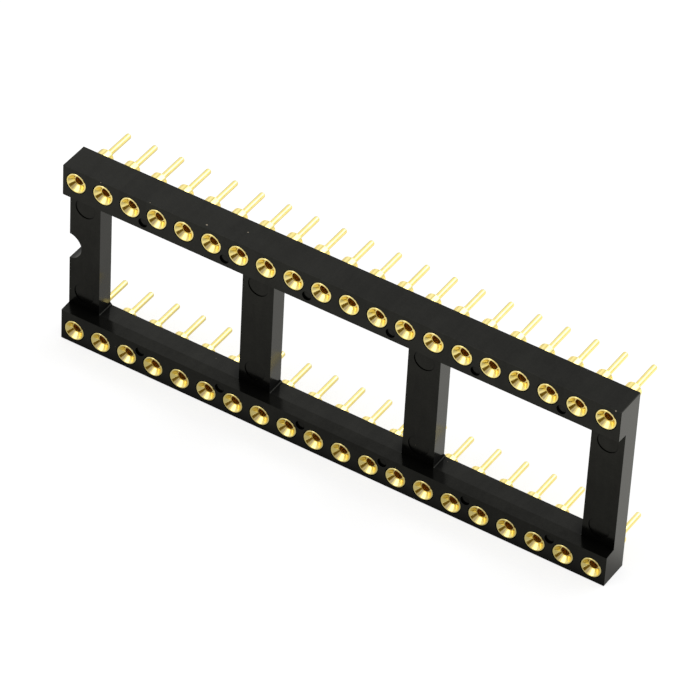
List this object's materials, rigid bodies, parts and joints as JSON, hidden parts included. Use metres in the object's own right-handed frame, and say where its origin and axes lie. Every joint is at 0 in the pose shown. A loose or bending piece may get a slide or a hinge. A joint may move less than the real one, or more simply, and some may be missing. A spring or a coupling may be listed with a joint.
{
  "type": "ic socket",
  "caption": "Open-frame dual in-line chip socket with gold-plated turned contacts in a black moulded frame, stood on one long side.",
  "frame": {"origin": "middle of the lower long side of the housing, which the socket stands on", "axes": "+X along the two rows, from contact 1 to contact 20; +Y from the chip face towards the solder tails; +Z across the rows, upwards"},
  "size_m": [0.0508, 0.0074, 0.0179],
  "materials": {
    "housing_plastic": "black glass-filled thermoplastic, satin, with a fine moulded grain",
    "contact_gold": "turned brass with bright gold plating",
    "clip_gold": "stamped beryllium-copper clip with thin gold plating"
  },
  "bodies": {
    "root": {"housing": "housing_plastic", "pin_01": "contact_gold", "pin_02": "contact_gold", "pin_03": "contact_gold", "pin_04": "contact_gold", "pin_05": "contact_gold", "pin_06": "contact_gold", "pin_07": "contact_gold", "pin_08": "contact_gold", "pin_09": "contact_gold", "pin_10": "contact_gold", "pin_11": "contact_gold", "pin_12": "contact_gold", "pin_13": "contact_gold", "pin_14": "contact_gold", "pin_15": "contact_gold", "pin_16": "contact_gold", "pin_17": "contact_gold", "pin_18": "contact_gold", "pin_19": "contact_gold", "pin_20": "contact_gold", "pin_21": "contact_gold", "pin_22": "contact_gold", "pin_23": "contact_gold", "pin_24": "contact_gold", "pin_25": "contact_gold", "pin_26": "contact_gold", "pin_27": "contact_gold", "pin_28": "contact_gold", "pin_29": "contact_gold", "pin_30": "contact_gold", "pin_31": "contact_gold", "pin_32": "contact_gold", "pin_33": "contact_gold", "pin_34": "contact_gold", "pin_35": "contact_gold", "pin_36": "contact_gold", "pin_37": "contact_gold", "pin_38": "contact_gold", "pin_39": "contact_gold", "pin_40": "contact_gold", "clips_first_row": "clip_gold", "clips_second_row": "clip_gold"}
  },
  "joints": []
}
